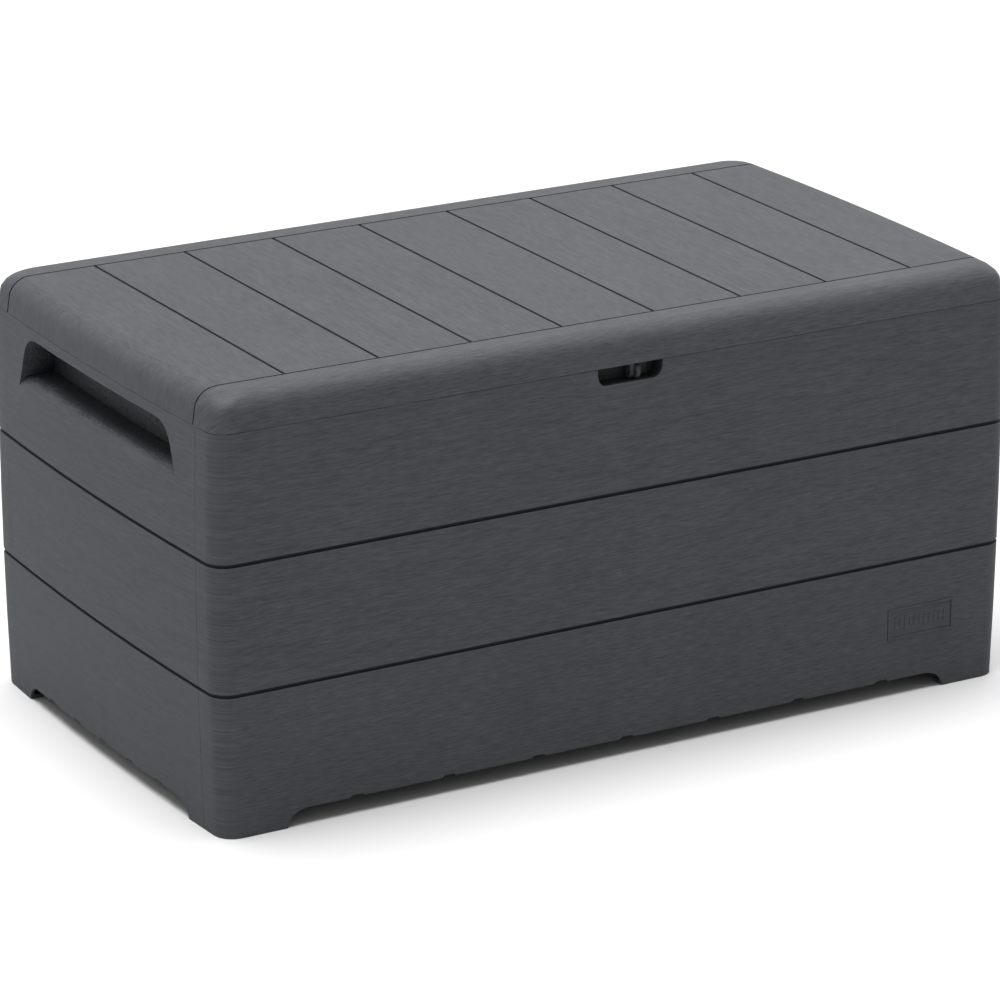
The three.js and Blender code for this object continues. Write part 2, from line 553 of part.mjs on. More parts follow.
function lidLiner() {
  const outside = bodyForm(LINER_IN, LINER_Z, HEIGHT);
  const hollow = bodyForm(LINER_IN + LINER_T, LINER_Z + LINER_T, HEIGHT + 1);
  const ribs = boardGrooves.map((x) => box(x - 8, x + 8, -HALF_DEPTH + 50, HALF_DEPTH - 50,
    LINER_Z - LINER_RIB_H, LINER_Z + 1));
  const border = bodyRing(LINER_IN + 14, LINER_IN + 22, LINER_Z - LINER_RIB_H, LINER_Z + 1);
  let body = outside.subtract(hollow).add(union(ribs)).add(border);
  body = body.intersect(lidForm(LID_SKIN + GAP, lidBottom - 4, HEIGHT));
  const knuckleRoom = hingeStations.map((x) => box(x - LID_KNUCKLE / 2 - 1, x + LID_KNUCKLE / 2 + 1,
    HINGE_Y - HINGE_R - GAP - 1, BIG, 0, HEIGHT));
  const latchRoom = box(-LATCH_HALF_TOP - SCOOP_WALL - 1, LATCH_HALF_TOP + SCOOP_WALL + 1, -BIG,
    -HALF_DEPTH + LATCH_DEPTH + SCOOP_WALL + 1, 0, SEAM_Z + LIP_H + 1);
  const screwPlaces = [...linerScrewPlaces, ...[-1, 1].flatMap((side) => lidBracketScrews(side))];
  const holes = screwPlaces.map(([x, y]) => (
    bar('z', SCREW_HOLE_R, LINER_Z - 10, LINER_Z + 10, [x, y], SCREW_SIDES)
  ));
  return named('lid_liner', body.subtract(union([...knuckleRoom, latchRoom, ...holes])), innerPlastic);
}

// ---------- screws ----------
// A pan-head screw. The head's underside is at the origin, and the shank points along -Z.
function screwSolid(length) {
  const points = [[0, -length], [SCREW_R, -length], [SCREW_R, 0], [SCREW_HEAD_R, 0],
    [SCREW_HEAD_R * 0.8, SCREW_HEAD_H], [0, SCREW_HEAD_H]];
  const geometry = new THREE.LatheGeometry(points.map(([x, y]) => new THREE.Vector2(x, y)), SCREW_SIDES);
  return solid(geometry.rotateX(Math.PI / 2));
}
function screw(name, length, position, towards) {
  const mesh = named(name, screwSolid(length), steel);
  mesh.quaternion.setFromUnitVectors(new THREE.Vector3(0, 0, 1), new THREE.Vector3(...towards));
  mesh.position.set(...position);
  return mesh;
}

function cornerScrews() {
  const headY = HALF_DEPTH - SEAM_IN - FLANGE_T - GAP;
  const heights = ['lower', 'upper'];
  const corners = [[-1, -1, 'front_left'], [-1, 1, 'rear_left'],
    [1, -1, 'front_right'], [1, 1, 'rear_right']];
  return corners.flatMap(([sx, sy, corner]) => cornerScrewZ.map((z, i) => {
    const place = [sx * (halfLength(z) - FLANGE_W / 2 - 6), sy * headY, z];
    return screw(`corner_screw_${corner}_${heights[i]}`, 2 * FLANGE_T + 3, place, [0, -sy, 0]);
  }));
}

function linerScrews() {
  return linerScrewPlaces.map(([x, y], i) => (
    screw(`liner_screw_${i + 1}`, LINER_SCREW_LENGTH, [x, y, LINER_Z - GAP], [0, 0, -1])
  ));
}

// ---------- padlock lugs ----------
const latchBackY = -HALF_DEPTH + LATCH_DEPTH;
function lugOutline(y0, reach, z0, z1) {
  const shape = new THREE.Shape();
  shape.moveTo(y0, z0);
  shape.lineTo(y0, z1);
  shape.lineTo(y0 - reach + LUG_NOSE, z1);
  shape.quadraticCurveTo(y0 - reach, z1, y0 - reach, (z0 + z1) / 2);
  shape.quadraticCurveTo(y0 - reach, z0, y0 - reach + LUG_NOSE, z0);
  return shape;
}
const lugHole = (y) => bar('x', 3.6, -40, 40, [y, (LATCH_BOTTOM_Z + SEAM_Z) / 2], 16);

function padlockLugs() {
  const z0 = LATCH_BOTTOM_Z + 1.5;
  const holeY = latchBackY - LATCH_DEPTH * 0.55;
  const backY = latchBackY - GAP;
  const boxLug = solid(prism('x', lugOutline(backY - 1, LATCH_DEPTH - 5, z0, SEAM_Z - 3),
    BOX_LUG_X - LUG_T / 2, BOX_LUG_X + LUG_T / 2));
  const boxPlate = box(BOX_LUG_X - 4, BOX_LUG_X + PLATE_W, backY - PLATE_T, backY, z0, SEAM_Z - 3);
  const lidX = BOX_LUG_X - LUG_T - LUG_GAP;
  const skinY = -HALF_DEPTH + LID_SKIN + LID_DRAFT + GAP;
  const insideLid = lidForm(LID_SKIN + GAP, lidBottom, HEIGHT);
  const lidOutline = lugOutline(skinY + 12, 12, z0, SEAM_Z + 10);
  const lidLug = solid(prism('x', lidOutline, lidX - LUG_T / 2, lidX + LUG_T / 2));
  const plateTop = lidBottom + 17;
  const lidPlate = box(lidX - PLATE_W, lidX + LUG_T / 2, -HALF_DEPTH, skinY + PLATE_T,
    lidBottom + 2, plateTop).intersect(insideLid);
  return [
    named('padlock_staple', boxLug.add(boxPlate).subtract(lugHole(holeY)), innerPlastic),
    named('lid_hasp', lidLug.add(lidPlate).subtract(lugHole(holeY)), innerPlastic),
  ];
}

function badgePlate() {
  const body = box(BADGE_X - BADGE_W / 2, BADGE_X + BADGE_W / 2, -HALF_DEPTH + GAP,
    -HALF_DEPTH + BADGE_T - GAP, BADGE_Z - BADGE_H / 2, BADGE_Z + BADGE_H / 2);
  return named('badge_plate', body, panelPlastic);
}

// ---------- hinge pins ----------
function hingePins() {
  const names = ['left', 'middle', 'right'];
  return hingeStations.map((x, i) => {
    const [left, right] = knuckleSpans(x);
    const pin = bar('x', PIN_R, left[0] - 2, right[1] + 2, [HINGE_Y, HINGE_Z]);
    const head = bar('x', PIN_R + 1.6, left[0] - 3.5, left[0] - GAP, [HINGE_Y, HINGE_Z]);
    return named(`hinge_pin_${names[i]}`, pin.add(head), steel);
  });
}

// ---------- gas struts ----------
// A piece drawn along +Z from the foot pivot, leaned over to the strut's line.
function leaned(body, name, material, side) {
  const mesh = named(name, body, material);
  mesh.rotation.x = Math.atan2(strutRun.y, strutRun.x) - Math.PI / 2;
  mesh.position.set(side * STRUT_X, strutFoot.x, strutFoot.y);
  return mesh;
}

function eyeEnd(z, direction, neck) {
  const ringBody = bar('x', EYE_R, -EYE_T / 2, EYE_T / 2, [0, z], 20);
  const stem = bar('z', neck, ...span(z, z + direction * (EYE_R + 8)), [0, 0], 12);
  return ringBody.add(stem);
}

function strut(side, sideName) {
  const footEye = eyeEnd(0, 1, 5).subtract(bar('x', STUD_R + GAP, -20, 20, [0, 0]));
  const headEye = eyeEnd(strutLength, -1, 5);
  const stud = bar('x', STUD_R, ...span(0, side * (EYE_T / 2 + STUD_END)), [0, strutLength]);
  const tubeStart = EYE_R + 8 + GAP;
  const tube = bar('z', CYLINDER_R, tubeStart, CYLINDER_LENGTH, [0, 0], 20)
    .subtract(bar('z', ROD_R + GAP, tubeStart + 6, CYLINDER_LENGTH + 1, [0, 0], 16));
  const rod = bar('z', ROD_R, tubeStart + 8, strutLength - EYE_R - 8 - GAP, [0, 0], 16);
  return [
    leaned(footEye, `${sideName}_strut_foot`, innerPlastic, side),
    leaned(tube, `${sideName}_strut_cylinder`, cylinderPaint, side),
    leaned(rod, `${sideName}_strut_rod`, steel, side),
    leaned(headEye.add(stud), `${sideName}_strut_eye`, innerPlastic, side),
  ];
}

function strutBrackets(side, sideName) {
  const wallX = halfLength(STRUT_FOOT_Z) + END_BOW - 1;
  const inner = STRUT_X + EYE_T / 2 + 1;
  const profile = [[inner, -12], [wallX, -BRACKET_HALF], [wallX, BRACKET_HALF], [inner, 12]]
    .map(([x, z]) => [side * x, STRUT_FOOT_Z + z]);
  const outline = side > 0 ? profile : profile.reverse();
  const arm = solid(prism('y', outline, STRUT_FOOT_Y - ARM_HALF, STRUT_FOOT_Y + ARM_HALF));
  const studEnds = span(side * (STRUT_X - EYE_T / 2 - 1), side * (inner + 2));
  const stud = bar('x', STUD_R, ...studEnds, [...strutFoot]);
  const flange = box(...span(side * (wallX - 20), side * wallX), STRUT_FOOT_Y - BRACKET_HALF,
    STRUT_FOOT_Y + BRACKET_HALF, STRUT_FOOT_Z - BRACKET_HALF, STRUT_FOOT_Z + BRACKET_HALF)
    .subtract(bodyForm(WALL + GAP + BRACKET_T, 100, SEAM_Z - 50));
  const holes = boxBracketScrews(side).map(([x, y, z]) => (
    bar('x', SCREW_HOLE_R, ...span(x, x - side * 30), [y, z], SCREW_SIDES)
  ));
  const room = bodyForm(WALL + GAP, 100, SEAM_Z - 50);
  const foot = arm.add(stud).add(flange).intersect(room).subtract(union(holes));
  const seat = LINER_Z - GAP;
  const ear = box(...span(side * EAR_X, side * (EAR_X + 5)), strutHead.x - ARM_HALF, strutHead.x + ARM_HALF,
    strutHead.y - EYE_R, seat);
  const plate = box(...span(side * (EAR_X - 4), side * (EAR_X + 14)), strutHead.x - 2 * ARM_HALF,
    strutHead.x + 2 * ARM_HALF, seat - BRACKET_T, seat);
  const lidHoles = lidBracketScrews(side).map(([x, y]) => (
    bar('z', SCREW_HOLE_R, seat - 9, seat + 1, [x, y], SCREW_SIDES)
  ));
  return [named(`${sideName}_strut_box_bracket`, foot, innerPlastic),
    named(`${sideName}_strut_lid_bracket`, ear.add(plate).subtract(union(lidHoles)), innerPlastic)];
}

function bracketScrews(side, sideName) {
  const ends = ['front', 'rear'];
  return [
    ...boxBracketScrews(side).map(([x, y, z], i) => {
      const place = [x - side * (BRACKET_T + 3 * GAP), y, z];
      return screw(`${sideName}_box_bracket_screw_${ends[i]}`, BRACKET_T + BLIND_HOLE, place, [-side, 0, 0]);
    }),
    ...lidBracketScrews(side).map(([x, y], i) => {
      const place = [x, y, LINER_Z - BRACKET_T - 2 * GAP];
      return screw(`${sideName}_lid_bracket_screw_${ends[i]}`, BRACKET_T + LINER_T, place, [0, 0, -1]);
    }),
  ];
}

// ---------- assembly ----------
const deckBox = new THREE.Group();
deckBox.add(...wallPanels(), floorPanel(), lidShell(), lidLiner(), badgePlate());
deckBox.add(...padlockLugs(), ...hingePins(), ...cornerScrews(), ...linerScrews());
[[-1, 'left'], [1, 'right']].forEach(([side, name]) => {
  deckBox.add(...strut(side, name), ...strutBrackets(side, name), ...bracketScrews(side, name));
});

export default deckBox;
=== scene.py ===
# %% [markdown]
# A deck storage box in anthracite resin, built around a imported CAD frame. The frame holds the shape, the
# sizes and the joints. This script gives each moulded piece soft edges and a wood-grain finish, remakes
# the small hardware more finely, and sets a plain studio around the box.

# %% Load the frame
import json
from math import cos, pi, radians, sin
import bmesh
import bpy
from mathutils import Matrix, Vector


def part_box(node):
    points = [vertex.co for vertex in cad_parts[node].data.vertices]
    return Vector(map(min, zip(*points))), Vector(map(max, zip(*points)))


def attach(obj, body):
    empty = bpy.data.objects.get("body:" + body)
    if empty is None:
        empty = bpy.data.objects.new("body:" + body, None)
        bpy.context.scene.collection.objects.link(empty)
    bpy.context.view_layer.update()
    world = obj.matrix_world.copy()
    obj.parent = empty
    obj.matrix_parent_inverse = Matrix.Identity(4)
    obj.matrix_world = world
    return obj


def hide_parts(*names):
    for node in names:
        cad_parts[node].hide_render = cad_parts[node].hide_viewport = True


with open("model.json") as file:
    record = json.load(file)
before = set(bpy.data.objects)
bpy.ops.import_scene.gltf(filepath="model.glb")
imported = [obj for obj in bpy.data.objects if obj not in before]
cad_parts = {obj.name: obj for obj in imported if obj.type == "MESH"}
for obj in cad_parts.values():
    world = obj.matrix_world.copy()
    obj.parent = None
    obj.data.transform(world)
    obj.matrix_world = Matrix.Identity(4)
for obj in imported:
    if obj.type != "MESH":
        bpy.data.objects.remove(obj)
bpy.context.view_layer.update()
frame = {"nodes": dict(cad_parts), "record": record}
behaviour = frame["record"]["behaviour"]
node_body = {node: body for body, nodes in behaviour["bodies"].items() for node in nodes}


# %% [markdown]
# Every piece ends up as one plain mesh at the origin, riding on the body of the CAD node that it stands
# for. Bodies are what the joints move, so a screw in the lid has to ride on the lid. A piece could be
# parented by hand, but then it is easy to forget its finish or the node that it hides. These helpers put
# a mesh into the scene, run its modifiers into its mesh, and hand it to the frame in one step.

# %% Helpers that finish a piece
def new_object(name, mesh):
    made = bpy.data.objects.new(name, mesh)
    bpy.context.scene.collection.objects.link(made)
    return made


def mesh_from(name, form):
    """Turns a bmesh into a mesh with its faces pointing outwards."""
    bmesh.ops.recalc_face_normals(form, faces=form.faces)
    mesh = bpy.data.meshes.new(name)
    form.to_mesh(mesh)
    form.free()
    return mesh


def applied(made):
    """Bakes an object's modifiers into a plain mesh."""
    evaluated = made.evaluated_get(bpy.context.evaluated_depsgraph_get())
    mesh = bpy.data.meshes.new_from_object(evaluated)
    made.modifiers.clear()
    made.data = mesh
    return made


def hand_over(piece, *nodes, slot, material):
    """Gives a piece its finish, its body, and the CAD nodes that it replaces."""
    piece.data.materials.clear()
    piece.data.materials.append(material)
    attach(piece, node_body[nodes[0]])
    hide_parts(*nodes)
    heights = [vertex.co.z * 1000 for vertex in piece.data.vertices]
    faces = len(piece.data.polygons)
    print(f"{piece.name}: {faces} faces, z {min(heights):.0f} to {max(heights):.0f} mm")
    return piece


# %% [markdown]
# Node trees are wired from many small steps, and written out in full they bury the idea under the
# wiring. A short class keeps each line readable: it adds a node, sets its values, and links whatever is
# passed to it as a socket. The same class serves materials, the sky and Geometry Nodes.

# %% A small writer for node trees
class Nodes:
    def __init__(self, tree):
        self.tree = tree

    def add(self, kind, inputs=None, **settings):
        node = self.tree.nodes.new(kind)
        for key, value in settings.items():
            setattr(node, key, value)
        for key, value in (inputs or {}).items():
            self.feed(node.inputs[key], value)
        return node

    def feed(self, socket, value):
        if isinstance(value, bpy.types.NodeSocket):
            self.tree.links.new(value, socket)
        else:
            socket.default_value = value

    def math(self, operation, a, b=0.0):
        return self.add("ShaderNodeMath", {0: a, 1: b}, operation=operation).outputs[0]

    def times(self, a, b):
        return self.math("MULTIPLY", a, b)

    def plus(self, *terms):
        total = terms[0]
        for term in terms[1:]:
            total = self.math("ADD", total, term)
        return total

    def either(self, *masks):
        most = masks[0]
        for mask in masks[1:]:
            most = self.math("MAXIMUM", most, mask)
        return most

    def vector(self, x=0.0, y=0.0, z=0.0):
        return self.add("ShaderNodeCombineXYZ", {0: x, 1: y, 2: z}).outputs[0]

    def mix(self, factor, a, b, kind="VECTOR"):
        node = self.add("ShaderNodeMix", data_type=kind)
        first, second, result = {"VECTOR": (4, 5, 1), "RGBA": (6, 7, 2), "FLOAT": (2, 3, 0)}[kind]
        self.feed(node.inputs[0], factor)
        self.feed(node.inputs[first], a)
        self.feed(node.inputs[second], b)
        return node.outputs[result]

    def noise(self, vector, scale, detail=3.0, roughness=0.55):
        settings = {"Vector": vector, "Scale": scale, "Detail": detail, "Roughness": roughness}
        return self.add("ShaderNodeTexNoise", settings).outputs["Fac"]

    def ramp(self, factor, low, high):
        return self.add("ShaderNodeMapRange", {0: factor, 1: low, 2: high}).outputs[0]


def new_material(name):
    material = bpy.data.materials.new(name)
    material.use_nodes = True
    return material, Nodes(material.node_tree), material.node_tree.nodes["Principled BSDF"]


def shade_of(colour, factor):
    return (colour[0] * factor, colour[1] * factor, colour[2] * factor, 1)


print("half-bright grey is", shade_of((1, 1, 1), 0.5))


# %% [markdown]
# The resin is moulded with a shallow wood grain. On a wall the grain runs level. On the lid it runs
# front to back on the boards, along the plain bands, and straight down the two ends. A painted wood
# texture could be wrapped round the box, but it would stretch at the bowed ends and show its seams. A
# stretched noise does better: its position is squeezed across the grain and drawn out along it, and that
# needs no unwrapping. Some parts of the pattern follow the shape, so this cell names where they are, in
# metres.

# %% Where the grain changes
ROW_Z = (0.2043, 0.3875)         # grooves between the rows of boards on the walls
ROW_GROOVE = 0.0026              # half-widths of the grooves
BOARD_GROOVE = 0.0023
BAND_GROOVE = 0.0015
BAND_W = 0.060                   # plain bands along the front and rear of the lid
BAND_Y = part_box("lid_shell")[1].y - BAND_W
BOARD_PITCH = 0.1414             # boards on the lid
FIRST_GROOVE = 0.07295           # the middle board is a little wider than the rest
LAST_BOARD = 0.56                # no groove further out than this
ACROSS = 520.0                   # streaks per metre across the grain
ALONG = 42.0                     # and along it
ROW_SHIFT = 7.3                  # moves the pattern on, so that grain doesn't cross a groove
BOARD_SHIFT = 3.7
END_SHIFT = 2.0
BAND_SHIFT = 5.0
print("rows change at", ROW_Z, "bands start at y", round(BAND_Y, 3))


# %% [markdown]
# Each mask asks a plain question about a point of the surface: how far is it from a groove, is it in a
# hand scoop, which way does it face? These three helpers give the answers their words. They read the
# Object coordinates, which are the metres of the frame, because every piece sits unturned at the origin.

# %% Questions about a point
def axes(n):
    place = n.add("ShaderNodeTexCoord").outputs["Object"]
    return place, *n.add("ShaderNodeSeparateXYZ", {0: place}).outputs


def facing(n):
    """The surface's own direction, without its bumps."""
    normal = n.add("ShaderNodeNewGeometry").outputs["Normal"]
    return n.add("ShaderNodeSeparateXYZ", {0: normal}).outputs


def near(n, value, centre, half):
    return n.math("LESS_THAN", n.math("ABSOLUTE", n.math("SUBTRACT", value, centre)), half)


wall_low, wall_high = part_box("left_side_panel")
print("end wall: y", round(wall_low.y, 3), "to", round(wall_high.y, 3), "top at z", round(wall_high.z, 3))


# %% [markdown]
# A hand scoop is a pocket in each bowed end wall. Its floor has a coarse, shiny texture for grip, and
# little light gets to its back, so the back is darkened in its colour as painted shade. A mask as a plain
# block of space would reach through the wall to the inside of the box, so this one is measured outwards
# from the bow of the wall. The padlock recess gets painted shade in the same way.

# %% Hand scoops and padlock recess as masks, with their painted shade
SCOOP_Z = (0.514, 0.043)         # middle and half-height of a hand scoop
SCOOP_HALF_Y = 0.250
SCOOP_BACK = 0.5870              # just behind the back of the hand scoops, at their middle
END_BOW = 0.0852                 # the end walls curve back by this times the square of y
SCOOP_RIM = (0.0525, 0.0465)     # outwards from the back: where the grip texture starts and is full
SCOOP_DEEP = (0.0430, 0.0050)    # where the shade starts and is full
# strength of the painted shade at the back of a scoop
SCOOP_SHADE = 0.6
LATCH_HALF_X = 0.056
LATCH_Z = (0.558, 0.0135)
LATCH_BEHIND = (-0.3500, -0.3480)
LATCH_NEAREST = -0.300           # the recess is only in the front wall
# strength of the painted shade in the padlock recess
LATCH_SHADE = 0.75


def scoop_masks(n, x, y, z):
    """How strongly a point has the grip texture, and how much painted shade darkens it at the back of a
    scoop.
    """
    bowed = n.times(n.times(y, y), END_BOW)
    out = n.plus(n.math("ABSOLUTE", x), bowed)
    inside = n.times(near(n, z, *SCOOP_Z), n.math("GREATER_THAN", out, SCOOP_BACK))
    inside = n.times(inside, near(n, y, 0.0, SCOOP_HALF_Y))
    grip = n.times(inside, n.ramp(out, *(SCOOP_BACK + step for step in SCOOP_RIM)))
    # painted shade, fullest at the back of the scoop
    deep = n.times(inside, n.ramp(out, *(SCOOP_BACK + step for step in SCOOP_DEEP)))
    return grip, n.times(deep, SCOOP_SHADE)


# painted shade: darkens the back of the padlock recess in its colour
def latch_painted_shade(n, x, y, z):
    latch = n.times(near(n, x, 0.0, LATCH_HALF_X), near(n, z, *LATCH_Z))
    latch = n.times(latch, n.math("LESS_THAN", y, LATCH_NEAREST))
    return n.times(n.times(latch, n.ramp(y, *LATCH_BEHIND)), LATCH_SHADE)


print("scoops are", 2000 * SCOOP_Z[1], "mm high, and start", 1000 * SCOOP_BACK, "mm out")


# %% [markdown]
# The walls carry three rows of boards, and the grain runs level round all four sides. Adding x and y
# gives one distance that grows along the front as well as along the ends, so one pattern serves all the
# walls. Every row gets its own stretch of the pattern, because a real board's grain doesn't run on into
# the next.

# %% Grain of the walls
def wall_grain(n):
    place, x, y, z = axes(n)
    round_walls = n.times(n.plus(x, y), ALONG)
    row = n.plus(n.math("GREATER_THAN", z, ROW_Z[0]), n.math("GREATER_THAN", z, ROW_Z[1]))
    streak = n.vector(round_walls, n.times(z, ACROSS), n.times(row, ROW_SHIFT))
    groove = n.either(*(near(n, z, height, ROW_GROOVE) for height in ROW_Z))
    grip, deep = scoop_masks(n, x, y, z)
    # painted shade: the grooves, the backs of the hand scoops and the padlock recess are darkened in
    # colour
    dark = n.either(groove, deep, latch_painted_shade(n, x, y, z))
    return {"streak": streak, "row": row, "place": place, "dark": dark, "grip": grip}


print("walls:", len(ROW_Z) + 1, "rows of boards")


# %% [markdown]
# The lid has nine boards that run front to back between two plain bands, and its edges roll over to the
# ends. Rounding the distance from the middle to a whole number of boards finds the nearest groove, so no
# list of grooves is needed. The same number, rounded up, tells the boards apart. On the round of a band
# the resin is a little glossier, where hands and covers rub it.

# %% Grain of the lid
END_FACING = 0.5                 # surfaces turned at least this far outwards belong to an end
BAND_SPREAD = 0.8                # the bands have slightly wider streaks
ROUND_FACING = (0.3, 0.9)
BAND_POLISH = 0.35


def lid_grain(n):
    place, x, y, z = axes(n)
    out = n.math("DIVIDE", n.math("SUBTRACT", n.math("ABSOLUTE", x), FIRST_GROOVE), BOARD_PITCH)
    gap = n.times(n.math("ABSOLUTE", n.math("SUBTRACT", out, n.math("ROUND", out))), BOARD_PITCH)
    board = n.times(n.math("CEIL", out), n.math("SIGN", x))
    boards = n.vector(n.times(x, ACROSS), n.times(y, ALONG), n.times(board, BOARD_SHIFT))
    ends = n.vector(n.times(y, ACROSS), n.times(n.plus(z, x), ALONG), END_SHIFT)
    bands = n.vector(n.times(x, ALONG), n.times(n.plus(y, z), ACROSS * BAND_SPREAD), BAND_SHIFT)
    outwards, _, upwards = facing(n)
    on_end = n.math("GREATER_THAN", n.math("ABSOLUTE", outwards), END_FACING)
    from_middle = n.math("ABSOLUTE", y)
    in_band = n.math("GREATER_THAN", from_middle, BAND_Y)
    streak = n.mix(in_band, n.mix(on_end, boards, ends), bands)
    on_boards = n.times(n.math("LESS_THAN", n.math("ABSOLUTE", x), LAST_BOARD),
                        n.math("LESS_THAN", from_middle, BAND_Y))
    # the lid's grooves are darkened in colour as painted shade
    groove = n.times(n.math("LESS_THAN", gap, BOARD_GROOVE), on_boards)
    groove = n.either(groove, near(n, from_middle, BAND_Y, BAND_GROOVE))
    polish = n.times(n.times(in_band, n.ramp(upwards, *ROUND_FACING)), BAND_POLISH)
    return {"streak": streak, "row": board, "place": place, "dark": groove, "grip": polish}


print("lid: a groove every", 1000 * BOARD_PITCH, "mm")


# %% [markdown]
# The floor, the liner and the small mouldings have no wood grain. They are plain, with the even mottling
# that every big moulding has, so their pattern is the same in all directions.

# %% Grain of the plain mouldings
PLAIN_SCALE = 60.0


def plain_grain(n):
    place, x, y, z = axes(n)
    streak = n.vector(*(n.times(part, PLAIN_SCALE) for part in (x, y, z)))
    return {"streak": streak, "row": 0.0, "place": place, "dark": 0.0, "grip": 0.0}


print("plain mouldings:", PLAIN_SCALE, "patches per metre")


# %% [markdown]
# Four things come from the one streak pattern: a faint change of colour, a change of gloss, the relief,
# and how much dust lies in it. On a real moulding these belong together, because the same shallow ridges
# cause them all, so separate textures would look false. A coarser noise adds the mottling of a big
# moulding, and a very fine one the grit of its surface. This cell makes the shares of each into a tone
# for the colour.

# %% Tone of the resin
GRIT_SCALE = 900.0
MOTTLE_SCALE = 9.0
PEBBLE_SCALE = 170.0
TONE_SHARES = {"streaks": 0.66, "broad": 0.12, "mottle": 0.12, "grit": 0.10}
ROW_SWAY = 12.9                  # spreads the rows over a sine, so that their tones have no order
ROW_TONE = 0.02


def resin_patterns(n, grain):
    return {"streaks": n.noise(grain["streak"], 1.0, 5.0, 0.62),
            "broad": n.noise(grain["streak"], 0.21, 2.0, 0.5),
            "mottle": n.noise(grain["place"], MOTTLE_SCALE, 3.0, 0.6),
            "grit": n.noise(grain["place"], GRIT_SCALE, 2.0, 0.6),
            "pebbles": n.noise(grain["place"], PEBBLE_SCALE, 3.0, 0.7)}


def resin_tone(n, grain, patterns):
    tone = n.plus(*(n.times(patterns[name], share) for name, share in TONE_SHARES.items()))
    sway = n.math("SINE", n.times(grain["row"], ROW_SWAY))
    return n.plus(tone, n.times(sway, ROW_TONE))


print("tone shares add up to", round(sum(TONE_SHARES.values()), 2))


# %% [markdown]
# The tone moves the colour a little darker and a little paler than the resin itself. Pale dust settles
# where the mottle and the ridges are both high. Grooves are painted nearly black as shade, since a thin
# moulded line sees little light. The same painted shade, less strong, darkens the backs of the hand scoops
# and the padlock recess.

# %% Colour of the resin
TONE_RANGE = (0.34, 0.66)
SWING = 0.3                      # how far the colour moves either way, at a contrast of 1
DUST_RANGE = (0.36, 0.5)
DUST_SHADE = 1.5
DUST_AMOUNT = 0.35
# the darkest painted shade keeps this much of the resin's colour
DARKEST_PAINTED_SHADE = 0.25


def resin_colour(n, grain, patterns, colour, contrast):
    tone = n.ramp(resin_tone(n, grain, patterns), *TONE_RANGE)
    darkest, palest = (shade_of(colour, 1 + way * SWING * contrast) for way in (-1, 1))
    clean = n.mix(tone, darkest, palest, "RGBA")
    settled = n.ramp(n.times(patterns["mottle"], patterns["streaks"]), *DUST_RANGE)
    worn = n.mix(settled, clean, shade_of(colour, DUST_SHADE), "RGBA")
    dusty = n.mix(DUST_AMOUNT, clean, worn, "RGBA")
    # painted shade: where the dark mask is on, the colour is mixed towards near black
    return n.mix(grain["dark"], dusty, shade_of(colour, DARKEST_PAINTED_SHADE), "RGBA")


print("grooves keep", DARKEST_PAINTED_SHADE, "of the resin's colour")


# %% [markdown]
# The relief is bump rather than real geometry: the ridges are a fraction of a millimetre deep, far below
# what a mesh of this size could carry. A fine bump gives the grain, and on top of it a coarse one gives
# the pebbled grip in the hand scoops, only where the grip mask is on. The gloss follows the ridges too.

# %% The resin material
STREAK_GLOSS = 0.24
MOTTLE_GLOSS = 0.06
GRIP_GLOSS = 0.2
STREAK_RELIEF = 0.8
GRIT_RELIEF = 0.2
PEBBLE_DEPTH = 0.0025
RESIN_SPECULAR = 0.14


def resin(name, grain_of, colour, depth, rough, contrast):
    material, n, shader = new_material(name)
    grain = grain_of(n)
    patterns = resin_patterns(n, grain)
    n.feed(shader.inputs["Base Color"], resin_colour(n, grain, patterns, colour, contrast))
    gloss = n.plus(n.times(patterns["streaks"], STREAK_GLOSS), rough - STREAK_GLOSS / 2)
    gloss = n.plus(gloss, n.times(patterns["mottle"], MOTTLE_GLOSS))
    n.feed(shader.inputs["Roughness"], n.math("SUBTRACT", gloss, n.times(grain["grip"], GRIP_GLOSS)))
    height = n.plus(n.times(patterns["streaks"], STREAK_RELIEF), n.times(patterns["grit"], GRIT_RELIEF))
    fine = n.add("ShaderNodeBump", {"Height": height, "Distance": depth, "Strength": 1.0})
    coarse = n.add("ShaderNodeBump", {"Height": patterns["pebbles"], "Distance": PEBBLE_DEPTH,
                                      "Strength": grain["grip"], "Normal": fine.outputs[0]})
    n.feed(shader.inputs["Normal"], coarse.outputs[0])
    shader.inputs["Specular IOR Level"].default_value = RESIN_SPECULAR
    print(name, "has", len(material.node_tree.nodes), "nodes")
    return material


RESIN = (0.0485, 0.0515, 0.0570)
INSIDE = shade_of(RESIN, 0.8)[:3]
wall_resin = resin("wall_resin", wall_grain, RESIN, depth=0.0004, rough=0.55, contrast=1.15)
lid_resin = resin("lid_resin", lid_grain, RESIN, depth=0.0004, rough=0.55, contrast=1.3)
inner_resin = resin("inner_resin", plain_grain, INSIDE, depth=0.0001, rough=0.55, contrast=0.4)


# %% [markdown]
# The steel pins, screws and strut rods are zinc plated, which leaves a cloudy, slightly uneven gloss.
# The strut cylinders are sprayed black, with a slight orange peel. Both are the same recipe with other
# numbers: a cloudy noise for the colour, and a fine one for the gloss and a very shallow bump.

# %% Metal materials
CLOUD_SCALE = 60.0
PEEL_DEPTH = 0.00003
PEEL_STRENGTH = 0.6
PEEL_GLOSS = 0.2


